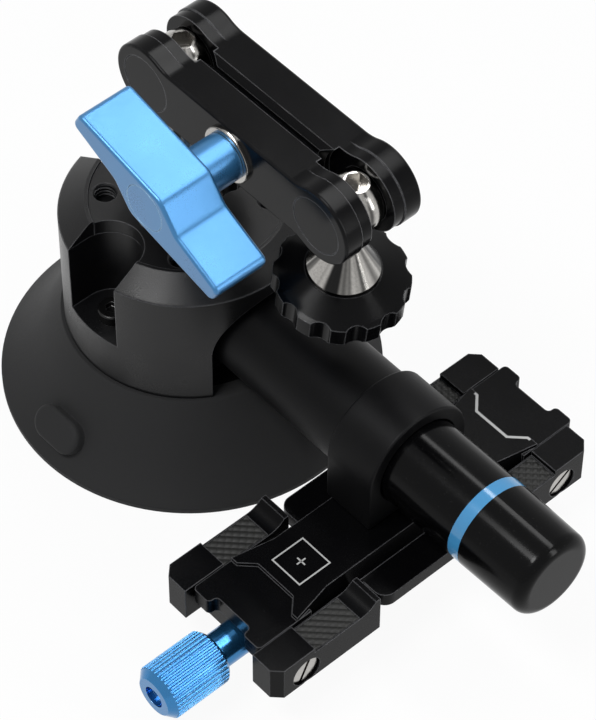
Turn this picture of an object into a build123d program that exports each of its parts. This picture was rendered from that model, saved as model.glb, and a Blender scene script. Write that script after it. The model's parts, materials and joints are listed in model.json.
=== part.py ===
from build123d import *

import os
from math import cos, radians, sin, sqrt

# Vacuum-cup camera mount: pump cup, double-ball arm and two-ended rail clamp.
os.makedirs("parts", exist_ok=True)

# All sizes are in millimetres. The cup's axis is Z and its lip stands on z = 0.
# The pump points along +X, the arm lies above it, and the rail clamp runs along Y.

# Clearances
run_fit = 0.1  # a shaft in its hole, on the radius
face_gap = 0.1  # two flat faces of different bodies
free_gap = 0.3  # curved faces of different bodies

# Rubber cup and its backing plate
lip_radius = 57.0
lip_height = 1.6
crease_radius = 43.0
crease_height = 19.5
cup_height = 28.0
rubber_wall = 4.0
plate_radius = 33.0
plate_thickness = 4.0
tab_length = 18.0
tab_width = 10.5
tab_thickness = 3.2
air_hole_radius = 1.8

# Housing
housing_radius = 37.0
shoulder_height = 68.4
housing_top = 74.0
shoulder_inset = 7.8
roof_thickness = 4.4
pocket_radius = 10.0
pocket_reach = 28.9
pocket_floor = 44.0
housing_screw_radius = 2.0
housing_head_radius = 4.2
housing_head_height = 3.5

# Top disc with its accessory threads
disc_rim = 1.2
disc_sink = 0.6
accessory_circle = 23.3
quarter_inch_radius = 3.175
disc_screw_circle = 14.0
disc_screw_radius = 1.4
disc_head_radius = 2.8

# Pump
tube_height = 45.2
tube_radius = 15.7
tube_wall = 1.7
tube_start = -14.0
tube_end_wall = 3.0
arch_gap = 3.1
arch_depth = 24.0
collar_start = 79.2
collar_length = 17.7
collar_radius = 18.0
collar_lip = 1.5
foot_bottom = 28.5

# Plunger
ring_start = 123.2
ring_width = 4.0
plunger_end = 151.0
plunger_wall = 1.7
plunger_edge = 3.5
plunger_draft = 0.4
piston_start = 56.0
piston_length = 6.0
seal_width = 2.3
seal_depth = 1.9
spring_radius = 8.5
spring_wire = 0.7
spring_turns = 9

# Double-ball arm
arm_height = 128.0
arm_length = 68.5
ball_radius = 8.8
ball_flat = 8.0
hex_radius = 3.4
hex_depth = 5.0
neck_radius = 2.9
cone_top_drop = 16.5
cone_base_drop = 28.0
cone_radius = 10.1
cone_edge = 0.8
stud_shank_radius = 2.7
stud_drop = 51.6
stud_lean = 6.5  # degrees that the free stud hangs towards the cup

# Scalloped locking wheels
wheel_radius = 18.9
wheel_rim_drop = 32.3
wheel_rim_height = 6.8
wheel_hub_radius = 10.6
scallop_count = 12
scallop_radius = 4.1
scallop_depth = 1.4
pad_radius = 12.0
pad_bore = 4.2
pad_thickness = 1.5
pad_proud = 0.3

# Centre post between the housing and the lower ball stud
post_radius = 8.0
post_flange_radius = 10.0
post_flange_height = 2.5
post_stud_radius = 4.6

# Arm side plates
plate_outer = 13.3  # outer face, from the arm's middle plane
plate_inner = 0.5
ball_gap = 4.0
lobe_radius = 11.9
lobe_step = 0.4
lobe_step_depth = 7.5
waist_half = 9.7
waist_bend = 12.0
recess_radius = 14.0
inner_chamfer = 1.8
cap_radius = 8.6
cap_thickness = 1.4
bolt_radius = 3.0
nut_radius = 6.4
nut_depth = 5.0

# Wing knob
washer_radius = 8.6
washer_thickness = 1.2
knob_boss_radius = 7.1
knob_boss_length = 10.2
wing_depth = 17.7
wing_half_length = 29.8
wing_tip_width = 6.2
wing_waist_reach = 11.4
wing_waist_half = 5.2
wing_shoulder_reach = 2.0
wing_shoulder_half = 9.5
wing_bend = 5.0
wing_tip_radius = 2.0
wing_turn = -29.0  # degrees from +X, in the arm's plane
inlay_radius = 6.9
inlay_thickness = 1.2

# Rail clamp bar
bar_x = 92.2
bar_y = -7.0
bar_half_length = 59.5
bar_half_width = 13.7
slab_bottom = 21.7
slab_thickness = 1.3
platform_drop = 1.2
platform_length = 14.0
step_inset = 4.2  # how far its middle reaches towards the foot
plateau_half_width = 10.8
plateau_half_length = 32.0
flange_half_width = 22.0
flange_half_length = 21.0
flange_thickness = 4.7
notch_width = 14.0
notch_depth = 3.0
horn_corner = 1.4
foot_screw_spacing = 20.0
foot_screw_radius = 2.2
foot_screw_bite = 2.5
foot_head_radius = 3.6
foot_head_height = 3.0
fork_screw_spacing = 17.0
fork_screw_radius = 1.6
fork_screw_bite = 3.0
fork_head_radius = 3.4
fork_head_height = 1.2

# Clamp jaws
jaw_gap = 0.3
jaw_width = 9.8
near_jaw_length = 38.0
far_jaw_length = 33.0
near_jaw_overhang = 2.5  # past the bar's end
far_jaw_overhang = -2.5
jaw_bottom = 14.2
block_length = 14.0
block_top = 27.5
saddle_height = 25.8
lip_top = 28.4
grip_thickness = 1.3
grip_proud = 0.3
grip_margin = 0.5
jaw_corner = 2.8
lip_reach = 7.0
lip_thickness = 1.6
jaw_screw_radius = 1.6
jaw_head_radius = 4.5
jaw_head_height = 2.2
jaw_recess_depth = 3.0
slot_width = 1.1
slot_depth = 1.2
near_slot_turn = -66
far_slot_turn = 35
cross_inset = 8.0
cross_length = 10.0
cross_bottom = 10.3
jaw_screw_inset = 11.0
jaw_screw_height = 19.6
jaw_screw_grip = 3.5

# Clamp screw and its knurled knob
screw_height = 14.8
lead_screw_radius = 3.0
neck_length = 10.2
neck_knob_radius = 5.4
knurl_radius = 8.4
knurl_length = 21.2
knurl_count = 36
knurl_groove = 0.5
knob_chamfer = 2.4
knob_recess_radius = 3.4
knob_recess_depth = 2.0
nut_block_start = 28.5
nut_block_length = 10.0
nut_block_half_width = 6.5
clip_radius = 4.6
clip_thickness = 1.0
shaft_end = 24.5

# Sizes that follow
rim_radius = housing_radius + 1.0
plate_bottom = cup_height - plate_thickness
rubber_floor = plate_bottom - rubber_wall
shoulder_radius = housing_radius - shoulder_inset
disc_radius = shoulder_radius - disc_rim
disc_top = housing_top - disc_sink
disc_bottom = shoulder_height
disc_thickness = disc_top - disc_bottom
roof_bottom = disc_bottom - roof_thickness
tube_bore = tube_radius - tube_wall
tube_seat = tube_radius + run_fit
collar_end = collar_start + collar_length
tube_end = collar_end - collar_lip
plunger_radius = tube_bore - free_gap
barrel_bore = plunger_radius - plunger_wall
spigot_radius = barrel_bore - run_fit
ring_end = ring_start + ring_width
barrel_start = piston_start + piston_length
wheel_bottom_drop = wheel_rim_drop + wheel_rim_height
thread_start_drop = wheel_bottom_drop + pad_proud
hub_top_drop = cone_base_drop + cone_edge + face_gap
post_top = arm_height - wheel_bottom_drop - pad_proud - face_gap
washer_face = plate_outer + washer_thickness
wing_back = washer_face + face_gap + knob_boss_length
wing_front = wing_back + wing_depth
bar_top = foot_bottom
platform_top = bar_top - platform_drop
slab_top = slab_bottom + slab_thickness
jaw_inner = bar_half_width + jaw_gap
near_cross_start = bar_half_length + near_jaw_overhang - cross_inset
far_cross_start = bar_half_length + far_jaw_overhang - cross_inset
near_cross_end = near_cross_start - cross_length
far_cross_middle = far_cross_start - cross_length / 2
neck_start = near_cross_start + face_gap
knurl_start = neck_start + neck_length
knurl_end = knurl_start + knurl_length


def save(piece, label):
    """Label a finished piece and write its file."""
    piece.part.label = label
    export_step(piece.part, f"parts/{label}.step")


def draw_pockets(grow):
    """Draw the three screw pockets in plan, larger by grow all round."""
    outer = housing_radius + grow + 1
    with PolarLocations(0, 3, start_angle=90, angular_range=270):
        with Locations((pocket_reach, 0)):
            Circle(pocket_radius + grow)
        with Locations(((pocket_reach + outer) / 2, 0)):
            Rectangle(outer - pocket_reach, 2 * (pocket_radius + grow))


def draw_ring(outer, inner):
    """Draw a flat ring about the sketch's own centre."""
    Circle(outer)
    Circle(inner, mode=Mode.SUBTRACT)


# Rubber cup: a stiff rim round the backing plate, flaring to a thin lip
with BuildPart() as rubber_cup:
    with BuildSketch(Plane.XZ) as cup_section:
        with BuildLine():
            Polyline(
                (crease_radius, crease_height),
                (rim_radius, cup_height),
                (plate_radius, cup_height),
                (plate_radius, plate_bottom),
                (air_hole_radius, plate_bottom),
                (air_hole_radius, rubber_floor),
                (plate_radius, rubber_floor),
                (crease_radius - rubber_wall, crease_height - rubber_wall / 2),
                (lip_radius - rubber_wall, 0),
                (lip_radius, 0),
                (lip_radius, lip_height),
            )
            skirt_middle = (
                (lip_radius + crease_radius) / 2 - 0.7,
                (lip_height + crease_height) / 2 - 0.6,
            )
            ThreePointArc((lip_radius, lip_height), skirt_middle, (crease_radius, crease_height))
        make_face()
    revolve(axis=Axis.Z)
    skirt_slope = Vector(lip_radius - crease_radius, crease_height - lip_height)
    tab_normal = Vector(0, -skirt_slope.Y, skirt_slope.X).normalized()
    tab_centre = (0, -(lip_radius + crease_radius) / 2 + 0.1, (lip_height + crease_height) / 2 - 1.5)
    tab_plane = Plane(origin=tab_centre, x_dir=(1, 0, 0), z_dir=tab_normal)
    with BuildSketch(tab_plane.offset(-rubber_wall / 2)):
        SlotOverall(tab_length, tab_width)
    extrude(amount=rubber_wall / 2 + tab_thickness)
    tab_face = faces().filter_by(GeomType.PLANE).sort_by(Axis(tab_centre, tab_normal))[-1]
    fillet(tab_face.edges(), 1.4)
save(rubber_cup, "rubber_cup")

with BuildPart() as backing_plate:
    with BuildSketch(Plane.XY.offset(plate_bottom)):
        Circle(plate_radius)
        Circle(air_hole_radius + 2, mode=Mode.SUBTRACT)
        with PolarLocations(pocket_reach, 3, start_angle=90, angular_range=270):
            Circle(housing_screw_radius, mode=Mode.SUBTRACT)
    extrude(amount=plate_thickness)
save(backing_plate, "backing_plate")

with BuildPart() as base_housing:
    with BuildSketch(Plane.XZ):
        with BuildLine():
            Polyline(
                (0, cup_height),
                (housing_radius, cup_height),
                (housing_radius, shoulder_height),
                (0, shoulder_height),
                close=True,
            )
        make_face()
    revolve(axis=Axis.Z)
    with BuildSketch(Plane.XY.offset(pocket_floor)):
        draw_pockets(0)
    extrude(amount=housing_top, mode=Mode.SUBTRACT)
    with BuildSketch(Plane.YZ.offset(tube_start)):
        with Locations((0, tube_height)):
            Circle(tube_seat)
    extrude(amount=housing_radius - tube_start, mode=Mode.SUBTRACT)
    with BuildSketch(Plane.YZ.offset(arch_depth)):
        with Locations((0, tube_height)):
            Circle(tube_radius + arch_gap)
        with Locations((0, (cup_height + tube_height) / 2)):
            Rectangle(2 * (tube_radius + arch_gap), tube_height - cup_height)
    extrude(amount=housing_radius, mode=Mode.SUBTRACT)
    with BuildSketch(Plane.XY.offset(cup_height)):
        with PolarLocations(pocket_reach, 3, start_angle=90, angular_range=270):
            Circle(housing_screw_radius + run_fit)
    extrude(amount=pocket_floor - cup_height, mode=Mode.SUBTRACT)
    with BuildSketch(Plane.XY.offset(roof_bottom)):
        Circle(post_stud_radius + run_fit)
        with PolarLocations(disc_screw_circle, 4):
            Circle(disc_screw_radius)
    extrude(amount=roof_thickness, mode=Mode.SUBTRACT)
    with BuildSketch(Plane.XY.offset(cup_height)):
        Circle(air_hole_radius + 2)
    extrude(amount=tube_height - cup_height, mode=Mode.SUBTRACT)
save(base_housing, "base_housing")

# The sloping shoulder round the top disc, cut through by the pockets
with BuildPart() as housing_shoulder:
    with BuildSketch(Plane.XZ):
        with BuildLine():
            Polyline(
                (disc_radius + run_fit, shoulder_height),
                (housing_radius, shoulder_height),
                (shoulder_radius, housing_top),
                (disc_radius + run_fit, housing_top),
                close=True,
            )
        make_face()
    revolve(axis=Axis.Z)
    with BuildSketch(Plane.XY.offset(shoulder_height)):
        draw_pockets(0)
    extrude(amount=housing_top, mode=Mode.SUBTRACT)
save(housing_shoulder, "housing_shoulder")

with BuildPart() as housing_screws:
    with BuildSketch(Plane.XY.offset(pocket_floor)):
        with PolarLocations(pocket_reach, 3, start_angle=90, angular_range=270):
            Circle(housing_head_radius)
    extrude(amount=housing_head_height)
    fillet(edges().group_by(Axis.Z)[-1], 0.6)
    with BuildSketch(Plane.XY.offset(pocket_floor)):
        with PolarLocations(pocket_reach, 3, start_angle=90, angular_range=270):
            Circle(housing_screw_radius)
    extrude(amount=plate_bottom - pocket_floor)
    with BuildSketch(Plane.XY.offset(pocket_floor + housing_head_height)):
        with PolarLocations(pocket_reach, 3, start_angle=90, angular_range=270):
            RegularPolygon(housing_head_radius / 2, 6)
    extrude(amount=-housing_head_height / 2, mode=Mode.SUBTRACT)
save(housing_screws, "housing_screws")

with BuildPart() as top_disc:
    with BuildSketch(Plane.XY.offset(disc_bottom)):
        Circle(disc_radius)
        with BuildSketch(mode=Mode.SUBTRACT):
            draw_pockets(0)
        Circle(post_stud_radius + run_fit, mode=Mode.SUBTRACT)
        with PolarLocations(accessory_circle, 4, start_angle=45):
            Circle(quarter_inch_radius, mode=Mode.SUBTRACT)
        with PolarLocations(disc_screw_circle, 4):
            Circle(disc_screw_radius + run_fit, mode=Mode.SUBTRACT)
    extrude(amount=disc_thickness)
    thread_mouths = edges().filter_by(GeomType.CIRCLE).group_by(Axis.Z)[-1]
    chamfer([edge for edge in thread_mouths if abs(edge.radius - quarter_inch_radius) < 0.01], 0.5)
    with PolarLocations(disc_screw_circle, 4):
        with Locations((0, 0, disc_top)):
            CounterSinkHole(disc_screw_radius + run_fit, disc_head_radius + run_fit, disc_thickness)
save(top_disc, "top_disc")

with BuildPart() as disc_screws:
    with BuildSketch(Plane.XY.offset(roof_bottom)):
        with PolarLocations(disc_screw_circle, 4):
            Circle(disc_screw_radius)
    extrude(amount=disc_top - roof_bottom)
    with BuildSketch(Plane.XY.offset(disc_top)):
        with PolarLocations(disc_screw_circle, 4):
            Circle(disc_head_radius)
    extrude(amount=-disc_head_radius + disc_screw_radius, taper=45)
    with BuildSketch(Plane.XY.offset(disc_top)):
        with PolarLocations(disc_screw_circle, 4):
            RegularPolygon(disc_screw_radius, 6)
    extrude(amount=-1, mode=Mode.SUBTRACT)
save(disc_screws, "disc_screws")

# Pump tube, closed at its inner end, with a hole down to the cup
with BuildPart() as pump_tube:
    with BuildSketch(Plane.YZ.offset(tube_start)):
        with Locations((0, tube_height)):
            Circle(tube_radius)
    extrude(amount=tube_end - tube_start)
    with BuildSketch(Plane.YZ.offset(tube_start + tube_end_wall)):
        with Locations((0, tube_height)):
            Circle(tube_bore)
    extrude(amount=tube_end - tube_start, mode=Mode.SUBTRACT)
    with BuildSketch(Plane.XY.offset(cup_height)):
        Circle(air_hole_radius)
    extrude(amount=tube_height - cup_height, mode=Mode.SUBTRACT)
save(pump_tube, "pump_tube")

with BuildPart() as air_duct:
    with BuildSketch(Plane.XY.offset(plate_bottom)):
        draw_ring(air_hole_radius + 2 - run_fit, air_hole_radius)
    extrude(amount=tube_height - plate_bottom)
    with BuildSketch(Plane.YZ.offset(tube_start)):
        with Locations((0, tube_height)):
            Circle(tube_radius)
    extrude(amount=housing_radius - tube_start, mode=Mode.SUBTRACT)
save(air_duct, "air_duct")

with BuildPart() as check_valve:
    with BuildSketch(Plane.XY.offset(plate_bottom)):
        Circle(air_hole_radius - run_fit)
    extrude(amount=plate_thickness / 2)
save(check_valve, "check_valve")

with BuildPart() as foot_collar:
    with BuildSketch(Plane.YZ.offset(collar_start)):
        with Locations((0, tube_height)):
            Circle(collar_radius)
        with Locations((0, (foot_bottom + tube_height) / 2)):
            Rectangle(2 * collar_radius, tube_height - foot_bottom)
        with Locations((0, foot_bottom - collar_radius)):
            Rectangle(2 * collar_radius, 2 * collar_radius, mode=Mode.SUBTRACT)
    extrude(amount=collar_length)
    foot_corners = edges().filter_by(Axis.X).group_by(Axis.Z)[0]
    fillet(foot_corners, 0.8)
    collar_rims = faces().filter_by(Axis.X).edges()
    fillet(collar_rims, 0.7)
    with BuildSketch(Plane.YZ.offset(collar_start)):
        with Locations((0, tube_height)):
            Circle(tube_seat)
    extrude(amount=tube_end - collar_start, mode=Mode.SUBTRACT)
    with BuildSketch(Plane.YZ.offset(collar_start)):
        with Locations((0, tube_height)):
            Circle(tube_bore + run_fit)
    extrude(amount=collar_length, mode=Mode.SUBTRACT)
    with BuildSketch(Plane.XY.offset(foot_bottom)):
        with Locations((collar_start + collar_length / 2, 0)):
            with GridLocations(0, foot_screw_spacing, 1, 2):
                Circle(foot_screw_radius)
    extrude(amount=foot_screw_bite + run_fit, mode=Mode.SUBTRACT)
save(foot_collar, "foot_collar")

# Plunger: piston, barrel, coloured vacuum ring and end cap
with BuildPart() as plunger_barrel:
    with BuildSketch(Plane.YZ.offset(barrel_start)):
        with Locations((0, tube_height)):
            draw_ring(plunger_radius, barrel_bore)
    extrude(amount=ring_start - barrel_start)
save(plunger_barrel, "plunger_barrel")

with BuildPart() as indicator_ring:
    with BuildSketch(Plane.YZ.offset(ring_start)):
        with Locations((0, tube_height)):
            draw_ring(plunger_radius, barrel_bore)
    extrude(amount=ring_width)
save(indicator_ring, "indicator_ring")

pump_axis = Axis((0, 0, tube_height), (1, 0, 0))
cap_wall_radius = spigot_radius - plunger_wall
cap_end_radius = plunger_radius - plunger_draft
with BuildPart() as plunger_cap:
    with BuildSketch(Plane.XZ):
        with BuildLine():
            Polyline(
                (ring_start - 2 * ring_width, tube_height + cap_wall_radius),
                (ring_start - 2 * ring_width, tube_height + spigot_radius),
                (ring_end, tube_height + spigot_radius),
                (ring_end, tube_height + plunger_radius),
                (plunger_end, tube_height + cap_end_radius),
                (plunger_end, tube_height),
                (plunger_end - 2 * plunger_wall, tube_height),
                (plunger_end - 2 * plunger_wall, tube_height + cap_wall_radius),
                close=True,
            )
        make_face()
    revolve(axis=pump_axis)
    end_face = faces().filter_by(Axis.X).sort_by(Axis.X)[-1]
    fillet(end_face.edges(), plunger_edge)
save(plunger_cap, "plunger_cap")

seal_start = piston_start + (piston_length - seal_width) / 2
with BuildPart() as piston:
    with BuildSketch(Plane.YZ.offset(piston_start)):
        with Locations((0, tube_height)):
            Circle(plunger_radius)
    extrude(amount=piston_length)
    with BuildSketch(Plane.YZ.offset(seal_start)):
        with Locations((0, tube_height)):
            draw_ring(tube_bore, plunger_radius - seal_depth)
    extrude(amount=seal_width, mode=Mode.SUBTRACT)
    with BuildSketch(Plane.YZ.offset(barrel_start)):
        with Locations((0, tube_height)):
            Circle(spigot_radius)
    extrude(amount=piston_length)
save(piston, "piston")

with BuildPart() as piston_seal:
    with BuildSketch(Plane.YZ.offset(seal_start)):
        with Locations((0, tube_height)):
            draw_ring(plunger_radius + run_fit, plunger_radius - seal_depth)
    extrude(amount=seal_width)
save(piston_seal, "piston_seal")

spring_start = tube_start + tube_end_wall + spring_wire + face_gap
spring_length = piston_start - spring_wire - face_gap - spring_start
spring_pitch = spring_length / spring_turns
with BuildPart() as return_spring:
    with BuildLine() as spring_path:
        Helix(spring_pitch, spring_length, spring_radius, (spring_start, 0, tube_height), (1, 0, 0))
    with BuildSketch(spring_path.line ^ 0):
        Circle(spring_wire)
    sweep(is_frenet=True)
save(return_spring, "return_spring")

# Ball studs: the lower one stands in the centre post, the free one hangs from the arm
lean = radians(stud_lean)
stud_places = {
    "lower": Plane(origin=(0, 0, arm_height)),
    "free": Plane(
        origin=(arm_length, 0, arm_height),
        x_dir=(cos(lean), 0, -sin(lean)),
        z_dir=(sin(lean), 0, cos(lean)),
    ),
}


def side_of(place):
    """The plane through a stud's axis, its own height running along the axis."""
    return Plane(origin=place.origin, x_dir=place.x_dir, z_dir=-place.y_dir)


for name, place in stud_places.items():
    stud_axis = Axis(place.origin, place.z_dir)
    with BuildPart() as ball_stud:
        with BuildSketch(side_of(place)):
            with BuildLine():
                flat_radius = sqrt(ball_radius**2 - ball_flat**2)
                neck_drop = sqrt(ball_radius**2 - neck_radius**2)
                ThreePointArc((flat_radius, ball_flat), (ball_radius, 0), (neck_radius, -neck_drop))
                Polyline(
                    (neck_radius, -neck_drop),
                    (neck_radius, -cone_top_drop),
                    (cone_radius, -cone_base_drop),
                    (cone_radius, -cone_base_drop - cone_edge),
                    (stud_shank_radius, -cone_base_drop - cone_edge),
                    (stud_shank_radius, -thread_start_drop),
                    (quarter_inch_radius, -thread_start_drop),
                    (quarter_inch_radius, -stud_drop + 0.6),
                    (quarter_inch_radius - 0.6, -stud_drop),
                    (0, -stud_drop),
                    (0, ball_flat),
                    (flat_radius, ball_flat),
                )
            make_face()
        revolve(axis=stud_axis)
        with BuildSketch(place.offset(ball_flat)):
            RegularPolygon(hex_radius, 6)
        extrude(amount=-hex_depth, mode=Mode.SUBTRACT)
    save(ball_stud, f"{name}_ball_stud")

    with BuildPart() as lock_wheel:
        with BuildSketch(side_of(place)):
            with BuildLine():
                Polyline(
                    (stud_shank_radius + run_fit, -hub_top_drop),
                    (wheel_hub_radius, -hub_top_drop),
                    (wheel_radius - 1.4, -wheel_rim_drop + 0.3),
                    (wheel_radius, -wheel_rim_drop - 0.4),
                    (wheel_radius, -wheel_bottom_drop + 0.6),
                    (wheel_radius - 0.6, -wheel_bottom_drop),
                    (pad_radius + run_fit, -wheel_bottom_drop),
                    (pad_radius + run_fit, -wheel_bottom_drop - pad_proud + pad_thickness),
                    (stud_shank_radius + run_fit, -wheel_bottom_drop - pad_proud + pad_thickness),
                    close=True,
                )
            make_face()
        revolve(axis=stud_axis)
        with BuildSketch(place.offset(-wheel_bottom_drop)):
            with PolarLocations(wheel_radius + scallop_radius - scallop_depth, scallop_count):
                Circle(scallop_radius)
        extrude(amount=2 * wheel_rim_height, mode=Mode.SUBTRACT)
    save(lock_wheel, f"{name}_lock_wheel")

    with BuildPart() as wheel_pad:
        with BuildSketch(place.offset(-wheel_bottom_drop - pad_proud)):
            draw_ring(pad_radius, pad_bore)
        extrude(amount=pad_thickness)
    save(wheel_pad, f"{name}_wheel_pad")

with BuildPart() as centre_post:
    with BuildSketch(Plane.XY.offset(disc_top)):
        Circle(post_flange_radius)
    extrude(amount=post_flange_height)
    with BuildSketch(Plane.XY.offset(disc_top)):
        Circle(post_radius)
    extrude(amount=post_top - disc_top)
    chamfer(edges().group_by(Axis.Z)[-1], 0.6)
    with BuildSketch(Plane.XY.offset(roof_bottom)):
        Circle(post_stud_radius)
    extrude(amount=disc_top - roof_bottom)
    with BuildSketch(Plane.XY.offset(arm_height - stud_drop - 1)):
        Circle(quarter_inch_radius + run_fit)
    extrude(amount=stud_drop, mode=Mode.SUBTRACT)
save(centre_post, "centre_post")

# Arm: two side plates that squeeze both balls, drawn on planes beside the arm's middle
ball_places = [(0, 0), (arm_length, 0)]


def arm_plane(side, distance):
    """A plane facing outwards at a distance from the arm's middle, on one side."""
    return Plane(origin=(0, side * distance, arm_height), x_dir=(1, 0, 0), z_dir=(0, side, 0))


def draw_arm(radius):
    """Draw an arm plate's outline with lobes of the given radius."""
    with Locations(*ball_places):
        Circle(radius)
    with Locations((arm_length / 2, 0)):
        Rectangle(arm_length, 2 * waist_half)
    corners = vertices().filter_by(lambda v: 0 < v.X < arm_length and abs(v.Y) > waist_half / 2)
    fillet(corners, waist_bend)


for name, side in (("front", -1), ("back", 1)):
    with BuildPart() as side_plate:
        with BuildSketch(arm_plane(side, plate_inner)):
            draw_arm(lobe_radius - lobe_step)
        extrude(amount=lobe_step_depth - plate_inner)
        with BuildSketch(arm_plane(side, lobe_step_depth)):
            draw_arm(lobe_radius)
        extrude(amount=plate_outer - lobe_step_depth)
        outer_face = faces().filter_by(Axis.Y).sort_by(Axis.Y)[-1 if side > 0 else 0]
        fillet(outer_face.edges(), 0.8)
        with BuildSketch(arm_plane(side, plate_inner)):
            with Locations(*ball_places):
                Circle(recess_radius)
        extrude(amount=ball_gap - plate_inner, mode=Mode.SUBTRACT)
        inner_face = faces().filter_by(Axis.Y).sort_by(Axis.Y)[0 if side > 0 else -1]
        chamfer(inner_face.edges(), inner_chamfer)
        with Locations((0, 0, arm_height), (arm_length, 0, arm_height)):
            Sphere(ball_radius + free_gap, mode=Mode.SUBTRACT)
        with BuildSketch(arm_plane(side, plate_outer)):
            with Locations(*ball_places):
                Circle(cap_radius + run_fit)
        extrude(amount=-cap_thickness - run_fit, mode=Mode.SUBTRACT)
        with BuildSketch(arm_plane(side, 0)):
            with Locations((arm_length / 2, 0)):
                Circle(bolt_radius + run_fit)
        extrude(amount=plate_outer, mode=Mode.SUBTRACT)
        if side > 0:
            with BuildSketch(arm_plane(side, plate_outer)):
                with Locations((arm_length / 2, 0)):
                    RegularPolygon(nut_radius + run_fit, 6)
            extrude(amount=-nut_depth, mode=Mode.SUBTRACT)
    save(side_plate, f"{name}_plate")

    with BuildPart() as end_caps:
        with BuildSketch(arm_plane(side, plate_outer - cap_thickness - run_fit)):
            with Locations(*ball_places):
                Circle(cap_radius)
        extrude(amount=cap_thickness)
    save(end_caps, f"{name}_caps")

with BuildPart() as clamp_nut:
    with BuildSketch(arm_plane(1, plate_outer - nut_depth)):
        with Locations((arm_length / 2, 0)):
            RegularPolygon(nut_radius, 6)
            Circle(bolt_radius + run_fit, mode=Mode.SUBTRACT)
    extrude(amount=nut_depth - run_fit)
save(clamp_nut, "clamp_nut")

with BuildPart() as knob_washer:
    with BuildSketch(arm_plane(-1, plate_outer)):
        with Locations((arm_length / 2, 0)):
            draw_ring(washer_radius, bolt_radius + run_fit)
    extrude(amount=washer_thickness)
    fillet(edges().group_by(Axis.Y)[0], 0.4)
save(knob_washer, "knob_washer")


def knob_plane(distance):
    """A plane across the wing knob's axis, its x along the wings."""
    turn = radians(wing_turn)
    middle = (arm_length / 2, -distance, arm_height)
    return Plane(origin=middle, x_dir=(cos(turn), 0, sin(turn)), z_dir=(0, -1, 0))


# One wing's outline; the other is the same turned half round
half_outline = [
    (wing_half_length, 0),
    (wing_half_length, wing_tip_width),
    (wing_waist_reach, wing_waist_half),
    (wing_shoulder_reach, wing_shoulder_half),
]
wing_outline = half_outline + [(-u, -v) for u, v in half_outline]

with BuildPart() as wing_knob:
    with BuildSketch(knob_plane(wing_back)):
        with BuildLine():
            Polyline(*wing_outline, close=True)
        make_face()
        middle = (wing_half_length + wing_waist_reach) / 2
        bends = vertices().filter_by(lambda v: abs(v.X) < middle)
        fillet(bends, wing_bend)
        tips = vertices().filter_by(lambda v: abs(v.X) > middle)
        fillet(tips, wing_tip_radius)
    extrude(amount=wing_depth)
    fillet(faces().filter_by(Axis.Y).edges(), 1.1)
    with BuildSketch(knob_plane(washer_face + face_gap)):
        Circle(knob_boss_radius)
    extrude(amount=knob_boss_length + wing_depth / 2)
    with BuildSketch(knob_plane(wing_front)):
        Circle(inlay_radius + run_fit)
    extrude(amount=-inlay_thickness, mode=Mode.SUBTRACT)
    with BuildSketch(knob_plane(washer_face)):
        Circle(bolt_radius)
    extrude(amount=knob_boss_length + wing_depth / 2, mode=Mode.SUBTRACT)
save(wing_knob, "wing_knob")

with BuildPart() as knob_inlay:
    with BuildSketch(knob_plane(wing_front - inlay_thickness)):
        Circle(inlay_radius)
    extrude(amount=inlay_thickness)
save(knob_inlay, "knob_inlay")

with BuildPart() as clamp_bolt:
    with BuildSketch(knob_plane(-plate_outer + 1)):
        Circle(bolt_radius)
    extrude(amount=plate_outer - 1 + washer_face + knob_boss_length + wing_depth / 2)
save(clamp_bolt, "clamp_bolt")

# Rail clamp bar: slab, end platforms, waisted plateau, foot flange and nut block
step_side = bar_half_length - platform_length
step_middle = step_side - step_inset
platform_reach = platform_length + step_inset + 1  # on under the plateau
step_points = [
    (bar_half_width, step_side),
    (bar_half_width - 2.3, step_side),
    (bar_half_width - 2.3 - step_inset, step_middle),
]


def draw_plateau(waist):
    """Draw the plateau's outline in plan with its sides drawn in to the waist."""
    quarter = [(waist, plateau_half_length)] + step_points
    right_far = quarter
    left_far = [(-x, y) for x, y in reversed(quarter)]
    left_near = [(-x, -y) for x, y in quarter]
    right_near = [(x, -y) for x, y in reversed(quarter)]
    with Locations((bar_x, bar_y)):
        Polygon(*right_far, *left_far, *left_near, *right_near, align=None)


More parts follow.
